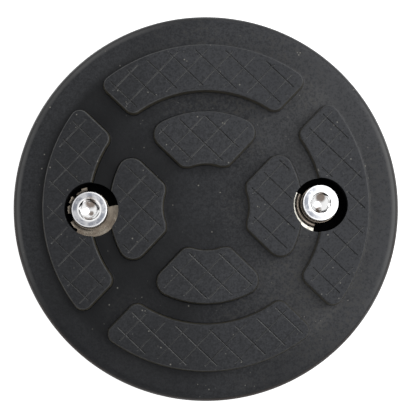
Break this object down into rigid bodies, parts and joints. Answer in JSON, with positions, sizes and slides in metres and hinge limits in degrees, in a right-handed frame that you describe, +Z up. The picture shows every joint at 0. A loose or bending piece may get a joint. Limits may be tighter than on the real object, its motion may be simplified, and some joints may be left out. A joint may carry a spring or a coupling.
{
  "type": "rubber lift arm pad",
  "caption": "Round black rubber pad for a vehicle lift arm, with grooved lugs, a moulded-in steel plate and socket-head screws sunk in wells.",
  "frame": {"origin": "centre of the pad's underside, on the surface it rests on", "axes": "+Z up out of the gripping face, along the pad's axis; +X through the two screw wells, towards screw_right"},
  "size_m": [0.127, 0.127, 0.0254],
  "materials": {
    "rubber": "moulded, matte with a faint sheen",
    "plate_steel": "bright, a little stained",
    "screw_steel": "bright zinc plate"
  },
  "bodies": {
    "root": {"rubber_pad": "rubber", "backing_plate": "plate_steel", "screw_left": "screw_steel", "screw_right": "screw_steel"}
  },
  "joints": []
}
